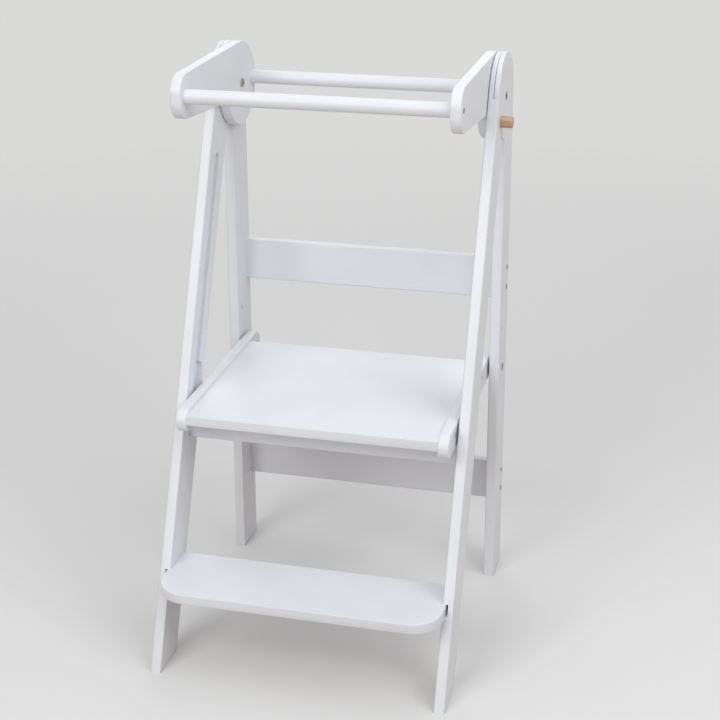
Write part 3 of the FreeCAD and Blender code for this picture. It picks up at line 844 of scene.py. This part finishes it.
@dataclass
class WoodScrews:
    """A set of countersunk wood screws along X with a cross recess and a real thread.

    Shares are of the screw's radius, but thread_length_share is of its length, cross_radius_share of
    the head's radius, the cross's mouth and floor of the cross's radius, and spacing_share of the
    head's diameter.
    """

    node: str
    body: str
    slot: str
    diameter: float
    head_diameter: float
    length: float
    word: str
    pitch: float = 2.2 * MM
    thread_length_share: float = 0.68
    thread_depth_share: float = 0.16
    thread_fade_turns: float = 2.0
    point_length_share: float = 3.0
    tip_radius_share: float = 0.12
    tip_flat: float = 0.2 * MM
    shank_radius_share: float = 0.94
    shank_step: float = 0.3 * MM
    rim_height: float = 0.35 * MM
    rim_chamfer_depth: float = 0.12 * MM
    rim_chamfer_width: float = 0.15 * MM
    cross_radius_share: float = 0.62
    cross_mouth_share: float = 1.06
    cross_floor_share: float = 0.55
    cross_lip: float = 0.1 * MM
    cross_depth: float = 1.9 * MM
    drill_point: float = 0.5 * MM
    recess_within: float = 1.0 * MM
    face_within: float = 0.01 * MM
    spacing_share: float = 1.2
    segments: int = 32
    rings_per_turn: int = 6

    def mesh(self, face: float) -> bpy.types.Mesh:
        """Return one screw whose head is flush with the plane X = face.

        The thread's radius is the core's plus a share of it times a triangle wave of the turns,
        x / pitch - a / 2 pi, and it fades out towards the plain shank.

        Args:
            face: the X of the head's top.

        Returns:
            The screw's mesh, about the X axis.
        """
        outer, head = self.diameter / 2, self.head_diameter / 2
        tip, neck = face - self.length, face - (head - outer)
        plain = tip + self.length * self.thread_length_share
        rings = int(self.rings_per_turn * (plain - tip) / self.pitch)
        xs = np.linspace(tip + self.tip_flat, plain, rings)
        point = self.point_length_share * outer
        radii = outer * np.clip((xs - tip) / point, self.tip_radius_share, 1.0)
        shank = outer * self.shank_radius_share
        cross, floor = head * self.cross_radius_share, face - self.cross_depth
        mouth = face - self.cross_lip
        profile = [(tip, 0.0), *zip(xs.tolist(), radii.tolist())]
        profile += [(plain + self.shank_step, shank), (neck, shank), (face - self.rim_height, head),
                    (face - self.rim_chamfer_depth, head), (face, head - self.rim_chamfer_width),
                    (face, cross * self.cross_mouth_share), (mouth, cross),
                    (floor, cross * self.cross_floor_share), (floor - self.drill_point, 0.0)]
        recess = recess_shape(Recess.CROSS, mouth, -1, cross)

        def shape(x: np.ndarray, r: np.ndarray, angle: np.ndarray) -> np.ndarray:
            """Return the thread's radius up to the plain shank and the recess's near the head.

            Args:
                x: each point's X.
                r: each point's radius before.
                angle: each point's angle round the axis.

            Returns:
                Each point's radius.
            """
            turns = np.mod((x - tip) / self.pitch - angle / (2 * math.pi), 1.0)
            ridge = np.abs(2 * turns - 1)
            fade = np.clip((plain - x) / (self.thread_fade_turns * self.pitch), 0.0, 1.0)
            threaded = r * (1 - self.thread_depth_share * (1 - ridge) * fade)
            near_head = np.where(x > floor - self.recess_within, recess(x, r, angle), r)
            return np.where(x < plain, threaded, near_head)

        return turned_mesh(f"{self.word}_screw", profile, self.segments, shape=shape)

    def build(self, material: bpy.types.Material) -> None:
        """Make every screw of the node where its plain solid lies, on both sides.

        Args:
            material: the screws' finish.
        """
        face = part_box(self.node)[1].x
        for number, at in enumerate(self.places(), start=1):
            for side in Side:
                mesh = self.mesh(face)
                mesh.name = f"{self.word}_screw_{number}_{side.word}"
                place(mesh, at, side, self.body, self.node, self.slot, material)

    def places(self) -> list[Point]:
        """Return where the screws of one side stand, found from the rims of the solids' heads.

        Returns:
            The (y, z) of each right-hand screw, in order.
        """
        corners = vertices_of(bpy.data.objects[self.node].data)
        rims = corners[corners[:, 0] > corners[:, 0].max() - self.face_within][:, 1:]
        found: list[Point] = []
        while len(rims):
            near = np.hypot(*(rims - rims[0]).T) < self.head_diameter * self.spacing_share
            low, high = rims[near].min(0), rims[near].max(0)
            found.append(tuple(float(value) for value in (low + high) / 2))
            rims = rims[~near]
        return sorted(found)


@dataclass
class LockPegs:
    """The two wooden lock pegs: a plain turned knob with an eased rim on a thinner shank."""

    rim: float = 1.5 * MM
    rim_ends_at: float = 15.0
    inner_rim: float = 0.6 * MM
    shank_share: float = 0.625
    leg_gap: float = 0.05 * MM
    dish_from: float = 1.35
    dish_to: float = 0.5
    pith_offset: Point = (4.5 * MM, -6.0 * MM)
    segments: int = 96

    def mesh(self, side: Side) -> bpy.types.Mesh:
        """Return one side's peg, turned from its inner end to its flat outer end.

        Args:
            side: which peg's plain solid gives the lengths.

        Returns:
            The mesh, about the X axis, on the right.
        """
        low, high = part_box(f"lock_peg_{side.word}")
        inner, end = sorted((abs(low.x), abs(high.x)))
        knob = (high.z - low.z) / 2
        shank = knob * self.shank_share
        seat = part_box("rear_leg_right")[1].x + self.leg_gap
        e, f = self.rim, self.inner_rim
        profile = [(inner, 0.0), (inner, shank - f), (inner + f, shank), (seat, shank)]
        profile += arc_profile((seat + f, knob - f), f, 180, 90, 4)
        profile += arc_profile((end - e, knob - e), e, 90, self.rim_ends_at, 6)
        profile += [(end, knob - self.dish_from * e), (end, knob * self.dish_to), (end, 0.0)]
        return turned_mesh(f"wooden_peg_{side.word}", profile, self.segments)

    def build(self, finish: OiledWood) -> None:
        """Make both pegs, each about its own rings.

        Args:
            finish: the wood.
        """
        for side in Side:
            node = f"lock_peg_{side.word}"
            y, z = middle_of(node)
            end = max(abs(corner.x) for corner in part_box(node))
            pith = (side.value * end, y + self.pith_offset[0], z + self.pith_offset[1])
            material = finish.material(f"oiled_wood_{side.word}", pith)
            place(self.mesh(side), (y, z), side, node, node, "peg_wood", material)


# ---- studio --------------------------------------------------------------------------------------

def seen_rays(tree: bpy.types.NodeTree) -> bpy.types.NodeSocket:
    """Return a value that is 1 for rays from the camera, off gloss or through glass, else 0.

    Args:
        tree: the tree that the nodes go into.

    Returns:
        The value socket.
    """
    path = tree.nodes.new("ShaderNodeLightPath")
    value = path.outputs["Is Camera Ray"]
    for kind in ("Is Glossy Ray", "Is Transmission Ray"):
        larger = tree.nodes.new("ShaderNodeMath")
        larger.operation = "MAXIMUM"
        tree.links.new(value, larger.inputs[0])
        tree.links.new(path.outputs[kind], larger.inputs[1])
        value = larger.outputs["Value"]
    return value


@dataclass(frozen=True)
class Lamp:
    """A rectangular soft light that looks at the stool."""

    name: str
    place: tuple[float, float, float]
    watts: float
    size: float
    colour: Colour = (1.0, 1.0, 1.0)
    aim: tuple[float, float, float] = (0.0, 0.0, 0.40)

    def build(self) -> None:
        """Add the lamp, turned to its aim."""
        data = bpy.data.lights.new(self.name, "AREA")
        data.shape = "SQUARE"
        data.size = self.size
        data.energy = self.watts
        data.color = self.colour
        lamp = bpy.data.objects.new(self.name, data)
        bpy.context.scene.collection.objects.link(lamp)
        lamp.location = self.place
        towards = Vector(self.aim) - Vector(self.place)
        lamp.rotation_euler = towards.to_track_quat("-Z", "Y").to_euler()


@dataclass
class Studio:
    """Camera, lamps, world and pale floor."""

    azimuth: float = 14.761
    elevation: float = 20.467
    roll: float = -0.550
    place: tuple[float, float, float] = (0.56066, -1.96156, 1.25142)
    lens: float = 78.3
    sensor: float = 36.0
    principal: tuple[float, float] = (362.84, 301.47)
    image: float = 720.0
    lamps: tuple[Lamp, ...] = (
        Lamp("key", (-1.05, -2.75, 2.3), 43.0, 1.9, (0.985, 0.99, 1.0)),
        Lamp("top", (0.2, 0.3, 2.9), 11.5, 2.2),
        Lamp("fill", (1.65, -0.92, 1.95), 21.0, 1.7, (0.98, 0.99, 1.0), (0.0, 0.0, 0.85)),
        Lamp("back", (-0.8, 2.6, 1.8), 9.0, 1.8),
    )
    ambient: Colour = (0.47, 0.475, 0.485)
    background: Colour = (0.70, 0.70, 0.695)
    floor_colour: Colour = (0.78, 0.775, 0.765)
    floor_bounce: Colour = (0.53, 0.46, 0.41)
    floor_size: float = 30.0
    floor_mottle: float = 0.985
    mottles_per_metre: float = 1.4
    fade_from: float = 0.9
    fade_to: float = 2.8

    def camera(self) -> None:
        """Set the camera as the photograph's was solved to stand.

        The view axes come from azimuth and elevation, then turn by the roll; the principal point
        becomes the lens shift, as a share of the image's width.
        """
        a, e, r = (math.radians(v) for v in (self.azimuth, self.elevation, self.roll))
        back = Vector((math.sin(a) * math.cos(e), -math.cos(a) * math.cos(e), math.sin(e)))
        right = (-back).cross(Vector((0.0, 0.0, 1.0))).normalized()
        up = right.cross(-back)
        rolled_right = math.cos(r) * right + math.sin(r) * up
        rolled_up = -math.sin(r) * right + math.cos(r) * up
        data = bpy.data.cameras.new("photo_camera")
        data.lens = self.lens
        data.sensor_width = self.sensor
        data.shift_x = (self.image / 2 - self.principal[0]) / self.image
        data.shift_y = (self.principal[1] - self.image / 2) / self.image
        camera = bpy.data.objects.new("photo_camera", data)
        bpy.context.scene.collection.objects.link(camera)
        turn = Matrix((rolled_right, rolled_up, back)).transposed().to_4x4()
        camera.matrix_world = Matrix.Translation(self.place) @ turn
        bpy.context.scene.camera = camera

    def floor(self) -> None:
        """Lay the pale floor, which passes into the background's even tone.

        The passing is the distance from the stool, carried from fade_from..fade_to to 0..1. It counts
        for seen and mirrored rays only, as the pale colour does, so that neither lights the stool.
        """
        half = self.floor_size / 2
        mesh = bpy.data.meshes.new("studio_floor")
        corners = [(-half, -half, 0.0), (half, -half, 0.0), (half, half, 0.0), (-half, half, 0.0)]
        mesh.from_pydata(corners, [], [(0, 1, 2, 3)])
        sheet = NodeSheet("floor_paper")
        seen = seen_rays(sheet.tree)
        place = sheet.object_coordinates()
        duller = tuple(value * self.floor_mottle for value in self.floor_colour)
        mottle = sheet.noise(place, self.mottles_per_metre)
        pale = sheet.blend(mottle, self.floor_colour, duller)
        sheet.link(sheet.blend(seen, self.floor_bounce, pale), sheet.shader.inputs["Base Color"])
        sheet.set(roughness=0.85, specular_ior_level=0.2)

        distance = sheet.node("ShaderNodeVectorMath", operation="LENGTH")
        sheet.link(place, distance.inputs[0])
        far = sheet.spread(distance.outputs["Value"], 0.0, 1.0, (self.fade_from, self.fade_to))
        share = sheet.node("ShaderNodeMath", operation="MULTIPLY")
        sheet.link(far, share.inputs[0])
        sheet.link(seen, share.inputs[1])
        tone = sheet.node("ShaderNodeEmission")
        tone.inputs["Color"].default_value = (*self.background, 1.0)
        mix = sheet.node("ShaderNodeMixShader")
        sheet.link(share.outputs["Value"], mix.inputs[0])
        sheet.link(sheet.shader.outputs["BSDF"], mix.inputs[1])
        sheet.link(tone.outputs["Emission"], mix.inputs[2])
        sheet.link(mix.outputs["Shader"], sheet.output.inputs["Surface"])
        mesh.materials.append(sheet.material)
        floor = bpy.data.objects.new("studio_floor", mesh)
        bpy.context.scene.collection.objects.link(floor)

    def world(self) -> None:
        """Light the scene evenly, and show the background's tone to seen and mirrored rays."""
        world = bpy.data.worlds.new("studio_world")
        world.use_nodes = True
        bpy.context.scene.world = world
        tree = world.node_tree
        tree.nodes.clear()
        output = tree.nodes.new("ShaderNodeOutputWorld")
        mix = tree.nodes.new("ShaderNodeMixShader")
        tree.links.new(seen_rays(tree), mix.inputs[0])
        for socket, colour in ((mix.inputs[1], self.ambient), (mix.inputs[2], self.background)):
            light = tree.nodes.new("ShaderNodeBackground")
            light.inputs["Color"].default_value = (*colour, 1.0)
            tree.links.new(light.outputs["Background"], socket)
        tree.links.new(mix.outputs["Shader"], output.inputs["Surface"])

    def build(self) -> None:
        """Set the view transform, camera, lamps, world and floor."""
        bpy.context.scene.view_settings.view_transform = "Standard"
        self.camera()
        self.floor()
        self.world()
        for lamp in self.lamps:
            lamp.build()


# ---- the stool -----------------------------------------------------------------------------------

PAINTED = (
    Boards("side frames", {"front_leg_left": Grain.FRONT_LEG, "front_leg_right": Grain.FRONT_LEG,
                           "rear_leg_left": Grain.REAR_LEG, "rear_leg_right": Grain.REAR_LEG}),
    Boards("step", {"lower_step": Grain.ACROSS, "front_stretcher": Grain.ACROSS}),
    Boards("back rails", {"upper_back_rail": Grain.ACROSS, "lower_back_rail": Grain.ACROSS}),
    Boards("platform", {"platform_panel": Grain.ACROSS,
                        "platform_cleat_left": Grain.FORE_AND_AFT,
                        "platform_cleat_right": Grain.FORE_AND_AFT}),
    Boards("guard", {"guard_panel_left": Grain.GUARD, "guard_panel_right": Grain.GUARD,
                     "guard_front_dowel": Grain.ACROSS, "guard_rear_dowel": Grain.ACROSS}),
)

SCREWS = (
    WoodScrews("back_rail_screws", "rear_frame", "black_steel", 5.0 * MM, 9.0 * MM, 50.0 * MM,
               "back_rail"),
    WoodScrews("guard_dowel_screws", "guard", "black_steel", 4.0 * MM, 8.0 * MM, 40.0 * MM,
               "guard_dowel", pitch=1.8 * MM),
    WoodScrews("platform_screws", "platform", "zinc_steel", 4.0 * MM, 8.0 * MM, 40.0 * MM,
               "platform", pitch=1.8 * MM),
)


def main() -> None:
    """Load the frame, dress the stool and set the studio."""
    logging.basicConfig(level=logging.INFO, format="%(name)s %(message)s")
    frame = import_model()
    nodes = frame["nodes"]

    edges = SoftenedEdges().build()
    for boards in PAINTED:
        boards.dress(nodes, edges)

    black = BLACK_STEEL.material("black_steel")
    zinc = ZINC.material("zinc_steel")
    brass = BRASS.material("brass")
    nylon = Nylon().material("nylon")
    for word, body in (("head", "front_frame"), ("platform", "rear_frame")):
        PivotHardware(word, body).build(black, brass, nylon)
    for screws in SCREWS:
        screws.build(zinc if screws.slot == "zinc_steel" else black)
    LockPegs().build(OiledWood())
    edges.dress(nodes["platform_guide_pins"], zinc)

    Studio().build()


if __name__ == "__main__":
    main()
